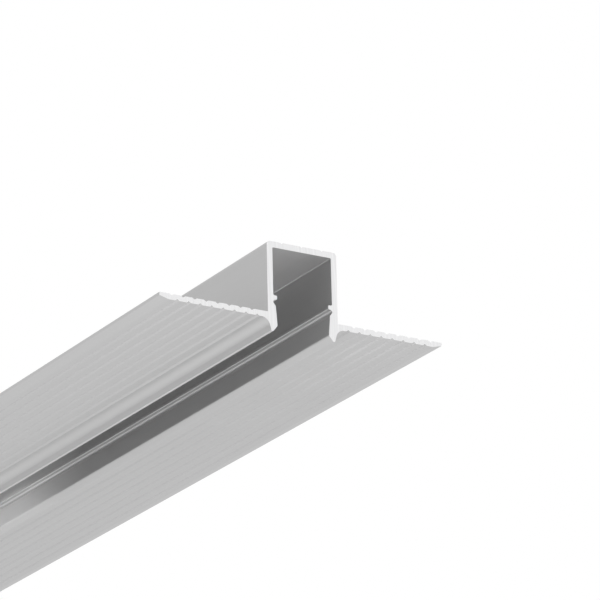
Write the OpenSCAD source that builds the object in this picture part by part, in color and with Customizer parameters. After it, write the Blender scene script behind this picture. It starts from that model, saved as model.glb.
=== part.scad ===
// Plaster-in aluminium profile for a strip of lights, for a ceiling or wall.
// One extruded bar: a deep channel that opens downwards, between two wide grooved flanges.
// Millimetres. X is across the bar, Y along it, Z up.
// The origin is midway along the bar, under the middle of the opening, level with the lips.

/* [Bar] */
// Length of the bar between its two saw cuts
bar_length = 500; // [100:10:3000]
// Width over both flanges
bar_width = 59; // [50:0.5:70]

/* [Channel] */
// Outside width of the channel
channel_width = 14.6; // [13:0.1:20]
// Height of the channel above the flanges' top faces
channel_height = 13.65; // [11:0.05:25]
// Thickness of the side walls
wall_t = 1.15; // [0.9:0.05:1.3]
// Thickness of the web, where the lights are stuck
web_t = 1.15; // [0.9:0.05:2]
// Outside radius of the channel's two top corners
corner_r = 0.7; // [0.3:0.05:1]
// Radius inside the channel's two top corners
inner_r = 0.2; // [0.1:0.05:0.5]

/* [Flanges] */
// Thickness of a flange between its grooves
flange_t = 1.1; // [0.9:0.05:1.4]
// Thickness left at a flange's outer edge
edge_t = 0.6; // [0.4:0.05:0.8]
// Width of the slope under a flange that thins it towards its outer edge
edge_slope_w = 1.9; // [1:0.1:2.2]
// Radius where a flange's top face meets the channel
root_r = 0.2; // [0.1:0.05:0.5]

/* [Grooves] */
// Number of grooves on each face of a flange
groove_count = 8; // [4:1:8]
// Distance from one groove to the next
groove_pitch = 2.34; // [2.2:0.01:2.34]
// Distance from the channel's side to the first groove underneath
groove_start = 2.2; // [2:0.05:2.3]
// Width of a groove underneath
under_groove_w = 0.8; // [0.5:0.05:0.9]
// Depth of a groove underneath
under_groove_d = 0.3; // [0.2:0.05:0.35]
// Width of a groove on top
top_groove_w = 0.9; // [0.5:0.05:0.9]
// Depth of a groove on top
top_groove_d = 0.28; // [0.2:0.02:0.36]
// Radius at the bottom of every groove
groove_r = 0.12; // [0.08:0.01:0.14]

/* [Lips] */
// Depth of a lip below the flanges' top faces
lip_depth = 3.58; // [3.3:0.02:5]
// Radius between a lip's outer face and the flange's underside
lip_fillet_r = 1.75; // [1.2:0.05:1.8]
// Distance from the channel's side in to the inner side of that round
lip_inset = 0.43; // [0.3:0.01:0.5]
// Distance from the channel's side in to the middle of a lip's tip
tip_inset = 0.88; // [0.8:0.02:1]
// Opening between the two lips at its narrowest
opening_w = 10.8; // [9.8:0.1:11]
// Height of that narrowest place above the lips' tips
opening_h = 1.3; // [1.1:0.05:1.5]
// Radius of a lip's inner corner
lip_in_r = 0.6; // [0.3:0.05:0.65]
// Radius of a lip's tip
lip_tip_r = 0.28; // [0.2:0.02:0.34]

/* [Snap ribs] */
// How far a rib stands out from the wall's inner face
rib_reach = 0.78; // [0.6:0.02:1]
// Thickness of a rib
rib_t = 0.76; // [0.7:0.02:1]
// Height of a rib's underside above the flanges' top faces
rib_height = 2.54; // [2.4:0.02:4]
// Radius of a rib's two edges
rib_edge_r = 0.16; // [0.1:0.01:0.2]
// Radius inside the corner above a rib
rib_root_r = 0.3; // [0.1:0.05:0.5]
// Radius of the round notch under a rib
notch_r = 0.4; // [0.3:0.02:0.42]
// Distance between the two inner faces just under the notches
pad_gap = 11.36; // [11.2:0.02:11.5]
// Radius of the corner between that face and the notch
pad_r = 0.15; // [0.1:0.01:0.2]

/* [Centring marks] */
// Distance of the outer marks from the one in the middle of the web's top face
mark_pitch = 4.2; // [2:0.1:5]
// Width of a mark
mark_w = 0.6; // [0.4:0.05:0.8]
// Depth of a mark
mark_d = 0.2; // [0.1:0.02:0.26]

/* [Hidden] */
$fn = 48;
// how far a fillet reaches into the metal that it joins
overlap = 0.01;
// how far a flat face runs inside the round edge that it meets, so that the two cross cleanly
bite = 0.0005;

side_x = channel_width / 2;
inner_x = side_x - wall_t;
edge_x = bar_width / 2;

flange_top = lip_depth;
flange_low = flange_top - flange_t;
bar_top = flange_top + channel_height;
web_low = bar_top - web_t;

rib_low = flange_top + rib_height;
rib_top = rib_low + rib_t;
rib_x = inner_x - rib_reach;

// centres of a rib's two rounded edges
rib_under = [rib_x + rib_edge_r, rib_low + rib_edge_r];
rib_over = [rib_x + rib_edge_r, rib_top - rib_edge_r];

// centre of the notch, which starts just under the rib
notch = [rib_x + notch_r, rib_low - 1.15 * notch_r];

// centres of the round between lip and flange and of the lip's three rounded corners
lip_root = [side_x - lip_inset + lip_fillet_r, flange_low - lip_fillet_r];
lip_tip = [side_x - tip_inset, lip_tip_r];
lip_in = [opening_w / 2 + lip_in_r, opening_h];
pad = [pad_gap / 2 + pad_r, notch[1] - 2.1 * notch_r];

// The two ends of the straight line that touches a circle about a and then one about b.
// The circles lie to its right, a circle with a negative radius lies to its left,
// and a radius of 0 makes its end the point itself.
function tangent(a, ra, b, rb) =
    let (qa = ra - sign(ra) * bite, qb = rb - sign(rb) * bite)
    let (d = b - a, l = norm(d), c = (qa - qb) / l, s = sqrt(1 - c * c))
    let (n = (c * d + s * [-d[1], d[0]]) / l)
    [a + qa * n, b + qb * n];

// the lip's tapered outer face, and the corner where it would meet the flange's underside
lip_face = tangent(lip_root, -lip_fillet_r, lip_tip, lip_tip_r);
lip_slant = lip_face[0] - lip_face[1];
lip_corner = lip_face[1] + lip_slant * (flange_low - lip_face[1][1]) / lip_slant[1];

// The right half's outline, clockwise, before its grooves and its rounded corners
right_outline = concat(
    [
        [side_x, bar_top],
        [side_x, flange_top],
        [edge_x, flange_top],
        [edge_x, flange_top - edge_t],
        [edge_x - edge_slope_w, flange_low],
        lip_corner,
        lip_face[1]
    ],
    tangent(lip_tip, lip_tip_r, lip_in, lip_in_r),
    tangent(lip_in, lip_in_r, pad, pad_r),
    tangent(pad, pad_r, notch, -notch_r),
    [notch],
    tangent(notch, -notch_r, rib_under, rib_edge_r),
    tangent(rib_under, rib_edge_r, rib_over, rib_edge_r),
    tangent(rib_over, rib_edge_r, [inner_x, rib_top], 0),
    [
        [inner_x, web_low]
    ]
);
right_count = len(right_outline);

// the same points for the left half, in the opposite order
left_outline = [
    for (i = [1 : right_count])
        [-right_outline[right_count - i][0], right_outline[right_count - i][1]]
];

// The pieces below stand with the bar's length along Z. The last module lays them along Y.

// Repeats a piece on the left
module both_sides() {
    children();
    mirror([1, 0, 0])
        children();
}

// A flat shape drawn out to the bar's length
module drawn_out() {
    linear_extrude(bar_length, center = true)
        children();
}

// A round edge along the bar
module rod(r) {
    cylinder(h = bar_length, r = r, center = true);
}

// Fills the corner between two faces that run along +X and +Y from the origin
module fillet(r) {
    drawn_out()
        difference() {
            translate([-overlap, -overlap])
                square(r + overlap);
            translate([r, r])
                circle(r);
        }
}

// Cutter for a V groove with a round bottom, in a face at the origin with its metal above
module groove(w, d) {
    bottom = [0, d - groove_r];
    flank = tangent([-w / 2, 0], 0, bottom, groove_r)[1];
    drawn_out()
        polygon([[-w / 2, -1], [-w / 2, 0], flank, bottom, [-flank[0], flank[1]], [w / 2, 0], [w / 2, -1]]);
    translate(bottom)
        rod(groove_r);
}

// Fills the blunt corner between the flange's underside and the lip's outer face
module lip_fillet() {
    drawn_out()
        difference() {
            polygon([
                [lip_root[0], flange_low + overlap],
                lip_root,
                lip_face[0] - [overlap, 0],
                lip_corner + [-overlap, overlap]
            ]);
            translate(lip_root)
                circle(lip_fillet_r);
        }
}

// The right half's inside fillets, and the round corners of its lip and its rib
module right_rounds() {
    translate([side_x, flange_top])
        fillet(root_r);
    lip_fillet();
    translate([inner_x, rib_top])
        mirror([1, 0, 0])
            fillet(rib_root_r);
    translate([inner_x, web_low])
        rotate(180)
            fillet(inner_r);
    translate(lip_tip)
        rod(lip_tip_r);
    translate(lip_in)
        rod(lip_in_r);
    translate(pad)
        rod(pad_r);
    for (centre = [rib_under, rib_over])
        translate(centre)
            rod(rib_edge_r);
}

// What is cut from the right half: its outer corner, its notch and its flange's grooves.
// The grooves on top lie midway between those underneath.
module right_cuts() {
    translate([side_x, bar_top])
        rotate(180)
            fillet(corner_r);
    translate(notch)
        rod(notch_r);
    for (i = [0 : groove_count - 1]) {
        x = side_x + groove_start + i * groove_pitch;
        translate([x, flange_low])
            groove(under_groove_w, under_groove_d);
        translate([x + groove_pitch / 2, flange_top])
            mirror([0, 1, 0])
                groove(top_groove_w, top_groove_d);
    }
}

// Three shallow marks along the web's top face, for centring a drill
module centring_marks() {
    for (x = [-mark_pitch, 0, mark_pitch])
        translate([x, bar_top])
            mirror([0, 1, 0])
                groove(mark_w, mark_d);
}

// The whole bar, cut square at both ends
module profile() {
    color("silver")
        rotate([90, 0, 0])
            difference() {
                union() {
                    drawn_out()
                        polygon(concat(right_outline, left_outline));
                    both_sides()
                        right_rounds();
                }
                both_sides()
                    right_cuts();
                centring_marks();
            }
}

profile();
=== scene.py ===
import math
import bmesh
import bpy
from mathutils import Matrix, Vector

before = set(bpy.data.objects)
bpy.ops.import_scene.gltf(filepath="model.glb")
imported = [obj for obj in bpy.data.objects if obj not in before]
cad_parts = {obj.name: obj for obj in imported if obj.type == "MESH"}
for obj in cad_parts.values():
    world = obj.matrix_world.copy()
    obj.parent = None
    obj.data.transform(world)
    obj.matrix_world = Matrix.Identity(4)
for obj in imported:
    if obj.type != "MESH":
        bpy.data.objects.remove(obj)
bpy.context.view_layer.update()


# The extruded bar
# One aluminium extrusion, satin anodised: a deep channel between two grooved flanges.
# The die draws fine scratches along its whole length and leaves faint broader bands.
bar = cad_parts["profile"]
bar_length = 0.500


def new_group(name, inputs, outputs):
    group = bpy.data.node_groups.new(name, "ShaderNodeTree")
    for label, value in inputs:
        socket = group.interface.new_socket(label, in_out="INPUT", socket_type="NodeSocketFloat")
        socket.default_value = value
    for label in outputs:
        group.interface.new_socket(label, in_out="OUTPUT", socket_type="NodeSocketFloat")
    return group


def add(tree, kind, at, **settings):
    """Adds a node. A setting in_0 is the value of its first input, and so on."""
    node = tree.nodes.new("ShaderNode" + kind)
    node.location = at
    for key, value in settings.items():
        if key.startswith("in_"):
            node.inputs[int(key[3:])].default_value = value
        else:
            setattr(node, key, value)
    return node


# Lines that the die leaves along the bar, as two masks from 0 to 1. The last number of each
# kind is its width over its length.
scratch_spacing, band_width = 0.00012, 0.0016
line_kinds = (("Fine Spacing", "Scratches", 0.004), ("Band Width", "Bands", 0.02))
die_lines = new_group("Die lines", [("Fine Spacing", scratch_spacing), ("Band Width", band_width)],
                      ["Scratches", "Bands"])
tree = die_lines
inside = tree.nodes.new("NodeGroupInput")
inside.location = (-900, 0)
result = tree.nodes.new("NodeGroupOutput")
result.location = (500, 0)
place = add(tree, "TexCoord", (-900, 300))
for row, (width, output, width_over_length) in enumerate(line_kinds):
    y = 200 - 400 * row
    per_metre = add(tree, "Math", (-700, y), operation="DIVIDE", in_0=1.0)
    lengthwise = add(tree, "Math", (-700, y - 160), operation="MULTIPLY", in_1=width_over_length)
    scale = add(tree, "CombineXYZ", (-500, y))
    stretched = add(tree, "VectorMath", (-320, y), operation="MULTIPLY")
    noise = add(tree, "TexNoise", (-140, y), noise_dimensions="3D")
    noise.inputs["Scale"].default_value = 1.0
    noise.inputs["Detail"].default_value = 2.0
    spread = add(tree, "MapRange", (80, y))
    spread.inputs["From Min"].default_value = 0.25
    spread.inputs["From Max"].default_value = 0.75
    tree.links.new(inside.outputs[width], per_metre.inputs[1])
    tree.links.new(per_metre.outputs[0], lengthwise.inputs[0])
    tree.links.new(per_metre.outputs[0], scale.inputs["X"])
    tree.links.new(lengthwise.outputs[0], scale.inputs["Y"])
    tree.links.new(per_metre.outputs[0], scale.inputs["Z"])
    tree.links.new(place.outputs["Object"], stretched.inputs[0])
    tree.links.new(scale.outputs[0], stretched.inputs[1])
    tree.links.new(stretched.outputs[0], noise.inputs["Vector"])
    tree.links.new(noise.outputs["Fac"], spread.inputs["Value"])
    tree.links.new(spread.outputs["Result"], result.inputs[output])


# The two saw cuts
# Each end is cut square with a circular saw after anodising. The bare metal there is brighter
# than the drawn faces, and the blade's teeth leave shallow arcs across it.
blade_radius, tooth_mark = 0.15, 0.0004
# where the bare metal's mask starts and where it is full, from the end's plane
mask_start, mask_full = -0.00004, -0.00001
across = (1.0, 0.0, 1.0)
saw_inputs = [("Bar Length", bar_length), ("Blade Radius", blade_radius), ("Tooth Mark", tooth_mark)]
saw_cut = new_group("Saw cut", saw_inputs, ["Mask", "Marks"])
tree = saw_cut
inside = tree.nodes.new("NodeGroupInput")
inside.location = (-1100, 0)
result = tree.nodes.new("NodeGroupOutput")
result.location = (700, 0)
place = add(tree, "TexCoord", (-1100, 300))
split = add(tree, "SeparateXYZ", (-900, 300))
from_middle = add(tree, "Math", (-700, 300), operation="ABSOLUTE")
half = add(tree, "Math", (-900, 100), operation="MULTIPLY", in_1=0.5)
past = add(tree, "Math", (-500, 300), operation="SUBTRACT")
mask = add(tree, "MapRange", (-300, 300))
mask.inputs["From Min"].default_value = mask_start
mask.inputs["From Max"].default_value = mask_full
hub = add(tree, "CombineXYZ", (-700, -100))
to_hub = add(tree, "VectorMath", (-500, -100), operation="ADD")
flat = add(tree, "VectorMath", (-320, -100), operation="MULTIPLY")
flat.inputs[1].default_value = across
radius = add(tree, "VectorMath", (-140, -100), operation="LENGTH")
teeth = add(tree, "Math", (40, -100), operation="DIVIDE")
marks = add(tree, "TexNoise", (220, -100), noise_dimensions="1D")
marks.inputs["Scale"].default_value = 1.0
marks.inputs["Detail"].default_value = 3.0
tree.links.new(place.outputs["Object"], split.inputs[0])
tree.links.new(split.outputs["Y"], from_middle.inputs[0])
tree.links.new(inside.outputs["Bar Length"], half.inputs[0])
tree.links.new(from_middle.outputs[0], past.inputs[0])
tree.links.new(half.outputs[0], past.inputs[1])
tree.links.new(past.outputs[0], mask.inputs["Value"])
tree.links.new(mask.outputs["Result"], result.inputs["Mask"])
tree.links.new(inside.outputs["Blade Radius"], hub.inputs["X"])
tree.links.new(place.outputs["Object"], to_hub.inputs[0])
tree.links.new(hub.outputs[0], to_hub.inputs[1])
tree.links.new(to_hub.outputs[0], flat.inputs[0])
tree.links.new(flat.outputs[0], radius.inputs[0])
tree.links.new(radius.outputs["Value"], teeth.inputs[0])
tree.links.new(inside.outputs["Tooth Mark"], teeth.inputs[1])
tree.links.new(teeth.outputs[0], marks.inputs["W"])
tree.links.new(marks.outputs["Fac"], result.inputs["Marks"])


# The bar's finish
# One metal all over. The saw cuts' mask changes its colour, its roughness and its relief
# from the anodised faces with their die lines to the bare cuts with their tooth marks.
drawn_dark, drawn_light = (0.524, 0.523, 0.524, 1.0), (0.536, 0.535, 0.536, 1.0)
sawn_dark, sawn_light = (0.775, 0.775, 0.78, 1.0), (0.905, 0.905, 0.91, 1.0)
drawn_rough_min, drawn_rough_max, sawn_rough = 0.56, 0.60, 0.5
relief_strength, relief_depth = 0.15, 0.00001
aluminium = bpy.data.materials.new("Satin anodised aluminium")
aluminium.use_nodes = True
tree = aluminium.node_tree
shader = tree.nodes["Principled BSDF"]
shader.location = (600, 0)
tree.nodes["Material Output"].location = (900, 0)
shader.inputs["Metallic"].default_value = 1.0
lines = add(tree, "Group", (-600, 200), node_tree=die_lines)
cut = add(tree, "Group", (-600, -200), node_tree=saw_cut)
drawn = add(tree, "Mix", (-300, 400), data_type="RGBA", in_6=drawn_dark, in_7=drawn_light)
sawn = add(tree, "Mix", (-300, 150), data_type="RGBA", in_6=sawn_dark, in_7=sawn_light)
colour = add(tree, "Mix", (0, 300), data_type="RGBA")
tree.links.new(lines.outputs["Bands"], drawn.inputs[0])
tree.links.new(cut.outputs["Marks"], sawn.inputs[0])
tree.links.new(cut.outputs["Mask"], colour.inputs[0])
tree.links.new(drawn.outputs[2], colour.inputs[6])
tree.links.new(sawn.outputs[2], colour.inputs[7])
tree.links.new(colour.outputs[2], shader.inputs["Base Color"])
satin = add(tree, "MapRange", (-300, -100))
satin.inputs["To Min"].default_value = drawn_rough_min
satin.inputs["To Max"].default_value = drawn_rough_max
rough = add(tree, "Mix", (0, 0), data_type="FLOAT", in_3=sawn_rough)
tree.links.new(lines.outputs["Scratches"], satin.inputs["Value"])
tree.links.new(cut.outputs["Mask"], rough.inputs[0])
tree.links.new(satin.outputs["Result"], rough.inputs[2])
tree.links.new(rough.outputs[0], shader.inputs["Roughness"])
height = add(tree, "Mix", (0, -250), data_type="FLOAT")
bump = add(tree, "Bump", (250, -250))
bump.inputs["Strength"].default_value = relief_strength
bump.inputs["Distance"].default_value = relief_depth
tree.links.new(cut.outputs["Mask"], height.inputs[0])
tree.links.new(lines.outputs["Scratches"], height.inputs[2])
tree.links.new(cut.outputs["Marks"], height.inputs[3])
tree.links.new(height.outputs[0], bump.inputs["Height"])
tree.links.new(bump.outputs["Normal"], shader.inputs["Normal"])
bar.material_slots[0].material = aluminium


# The floor
# A pale sheet that the two lips rest on. It shows from above, where it keeps the bar's shadow,
# and lets the view from below through. It fades into the white background at its rim.
floor_radius = 1.6
fade_start = 0.45
floor_colour = (0.9, 0.9, 0.9, 1.0)
bm = bmesh.new()
bmesh.ops.create_circle(bm, cap_ends=True, segments=96, radius=floor_radius)
floor_mesh = bpy.data.meshes.new("floor")
bm.to_mesh(floor_mesh)
bm.free()
floor = bpy.data.objects.new("floor", floor_mesh)
bpy.context.scene.collection.objects.link(floor)
pale = bpy.data.materials.new("Pale floor")
pale.use_nodes = True
tree = pale.node_tree
tree.nodes.remove(tree.nodes["Principled BSDF"])
output = tree.nodes["Material Output"]
output.location = (700, 0)
matt = add(tree, "BsdfDiffuse", (200, 100))
matt.inputs["Color"].default_value = floor_colour
clear = add(tree, "BsdfTransparent", (200, -100))
both = add(tree, "MixShader", (450, 0))
path = add(tree, "LightPath", (-600, 400))
side = add(tree, "NewGeometry", (-600, 0))
front = add(tree, "Math", (-350, 0), operation="SUBTRACT", in_0=1.0)
seen = add(tree, "Math", (-150, 200), operation="MULTIPLY")
place = add(tree, "TexCoord", (-900, -300))
from_bar = add(tree, "VectorMath", (-700, -300), operation="LENGTH")
rim = add(tree, "MapRange", (-500, -300), interpolation_type="SMOOTHSTEP")
rim.inputs["From Min"].default_value = fade_start
rim.inputs["From Max"].default_value = floor_radius
rim.inputs["To Min"].default_value = 1.0
rim.inputs["To Max"].default_value = 0.0
shown = add(tree, "Math", (30, 0), operation="MULTIPLY")
tree.links.new(side.outputs["Backfacing"], front.inputs[1])
tree.links.new(path.outputs["Is Camera Ray"], seen.inputs[0])
tree.links.new(front.outputs[0], seen.inputs[1])
tree.links.new(place.outputs["Object"], from_bar.inputs[0])
tree.links.new(from_bar.outputs["Value"], rim.inputs["Value"])
tree.links.new(seen.outputs[0], shown.inputs[0])
tree.links.new(rim.outputs["Result"], shown.inputs[1])
tree.links.new(shown.outputs[0], both.inputs[0])
tree.links.new(clear.outputs[0], both.inputs[1])
tree.links.new(matt.outputs[0], both.inputs[2])
tree.links.new(both.outputs[0], output.inputs["Surface"])
floor_mesh.materials.append(pale)


# The light
# A white room all round. Three soft lamps light the whole bar, and three small ones stand under
# its flanges at the near cut. Narrow beams and strips lighten its grooves and its channel.
room_fill = 0.8
near_cut = -bar_length / 2
world = bpy.data.worlds.new("White room")
bpy.context.scene.world = world
world.use_nodes = True
tree = world.node_tree
room = tree.nodes["Background"]
room.inputs["Color"].default_value = (1.0, 1.0, 1.0, 1.0)
path = add(tree, "LightPath", (-600, 0))
white = add(tree, "Math", (-400, 0), operation="MAXIMUM")
white_too = add(tree, "Math", (-200, 0), operation="MAXIMUM")
level = add(tree, "MapRange", (-20, 0))
level.inputs["To Min"].default_value = room_fill
tree.links.new(path.outputs["Is Camera Ray"], white.inputs[0])
tree.links.new(path.outputs["Is Glossy Ray"], white.inputs[1])
tree.links.new(white.outputs[0], white_too.inputs[0])
tree.links.new(path.outputs["Is Transmission Ray"], white_too.inputs[1])
tree.links.new(white_too.outputs[0], level.inputs["Value"])
tree.links.new(level.outputs["Result"], room.inputs["Strength"])


def soft_lamp(name, at, towards, size, brightness, spread=180):
    """A round lamp that gives brightness times the light of a white wall of its size."""
    lamp = bpy.data.lights.new(name, "AREA")
    lamp.shape = "DISK"
    lamp.size = size
    lamp.energy = brightness * math.pi * math.pi * size * size / 4
    lamp.spread = math.radians(spread)
    stand = bpy.data.objects.new(name, lamp)
    bpy.context.scene.collection.objects.link(stand)
    aim = (Vector(towards) - Vector(at)).to_track_quat("-Z", "Y")
    stand.matrix_world = Matrix.Translation(at) @ aim.to_matrix().to_4x4()
    stand.visible_camera = False


bar_near_end = (0, near_cut + 0.05, 0)
soft_lamp("lamp over the bar", at=(-0.7, -0.5, 1.2), towards=(0, 0, 0), size=0.6, brightness=1.2)
soft_lamp("low lamp beyond", at=(-0.10, 0.25, -0.35), towards=bar_near_end, size=0.20, brightness=0.43)
soft_lamp("low lamp on the left", at=(-0.30, 0.10, -0.15), towards=bar_near_end, size=0.15, brightness=0.9)
soft_lamp("near lamp under the left flange", at=(-0.045, near_cut + 0.015, -0.045),
          towards=(-0.03, near_cut - 0.005, 0.002), size=0.03, brightness=1.25)
soft_lamp("second near lamp under the left flange", at=(-0.045, near_cut + 0.08, -0.045),
          towards=(-0.03, near_cut + 0.06, 0.002), size=0.03, brightness=0.45)
soft_lamp("near lamp under the right flange", at=(0.04, near_cut + 0.015, -0.045),
          towards=(0.055, near_cut - 0.005, 0.002), size=0.03, brightness=0.6)

# Three beams on the grooves under the right flange, strongest at the cut
for from_cut, brightness in ((0.006, 0.075), (0.024, 0.045), (0.050, 0.020)):
    aim_y = near_cut + from_cut
    soft_lamp("flange beam", at=(0.004, aim_y + 0.022, -0.016), towards=(0.0185, aim_y, 0.0025),
              size=0.01, brightness=brightness, spread=36)

# A row of small beams on the right wall's rib and the round notch under it
beam_count, beam_pitch = 14, 0.0075
for step in range(beam_count):
    aim_y = near_cut + 0.003 + beam_pitch * step
    soft_lamp("notch beam", at=(-0.0040, aim_y + 0.016, 0.0005), towards=(0.0060, aim_y, 0.0062),
              size=0.003, brightness=0.13, spread=30)

# Three beams on the round corner between the web and the right wall
for from_cut, brightness in ((0.010, 0.10), (0.019, 0.15), (0.028, 0.15)):
    aim_y = near_cut + from_cut
    soft_lamp("corner beam", at=(-0.0065, aim_y + 0.032, -0.0035), towards=(0.0060, aim_y, 0.0158),
              size=0.004, brightness=brightness, spread=10)


def channel_strip(at, towards, width, spread, start, end, brightness):
    """A long narrow lamp inside the channel, from start to end along the bar."""
    lamp = bpy.data.lights.new("strip in the channel", "AREA")
    lamp.shape = "RECTANGLE"
    lamp.size, lamp.size_y = width, end - start
    lamp.spread = math.radians(spread)
    lamp.energy = brightness * math.pi * lamp.size * lamp.size_y
    stand = bpy.data.objects.new("strip in the channel", lamp)
    bpy.context.scene.collection.objects.link(stand)
    behind, along = -Vector(towards).normalized(), Vector((0.0, 1.0, 0.0))
    turn = Matrix((along.cross(behind), along, behind)).transposed().to_4x4()
    stand.matrix_world = Matrix.Translation((at[0], (start + end) / 2, at[1])) @ turn
    stand.visible_camera = False


# The inside of the channel grows lighter 10 cm from the near cut. Three strips do that: two under
# the web that face down, and a weak one in the opening that faces the right wall.
under_web, down = (0.0, 0.0155), (0.0, 0.0, -1.0)
in_opening, to_right_wall = (-0.0035, 0.0014), (0.0095, 0.0, 0.004)
weak_start, strong_start, strips_end = near_cut + 0.100, near_cut + 0.120, near_cut + 0.400
channel_strip(under_web, down, width=0.006, spread=80, start=weak_start, end=strong_start,
              brightness=1.8)
channel_strip(under_web, down, width=0.006, spread=80, start=strong_start, end=strips_end,
              brightness=6.0)
channel_strip(in_opening, to_right_wall, width=0.002, spread=110, start=near_cut + 0.111,
              end=strips_end, brightness=2.4)


# The camera
# It stands below the bar, to its left and in front of the near saw cut, with a long lens.
azimuth, elevation, roll = math.radians(-31.086), math.radians(-20.154), math.radians(-1.311)
eye_place = (-0.376538, -0.873587, -0.260368)
back = Vector((math.sin(azimuth) * math.cos(elevation), -math.cos(azimuth) * math.cos(elevation),
               math.sin(elevation)))
level_right = Vector((math.cos(azimuth), math.sin(azimuth), 0.0))
level_up = back.cross(level_right)
right = math.cos(roll) * level_right + math.sin(roll) * level_up
up = back.cross(right)
camera = bpy.data.cameras.new("camera")
camera.sensor_width = 36.0
camera.lens = 258.45
camera.clip_start, camera.clip_end = 0.05, 20.0
eye = bpy.data.objects.new("camera", camera)
eye.matrix_world = Matrix.Translation(eye_place) @ Matrix((right, up, back)).transposed().to_4x4()
bpy.context.scene.collection.objects.link(eye)
bpy.context.scene.camera = eye
bpy.context.scene.view_settings.view_transform = "Standard"
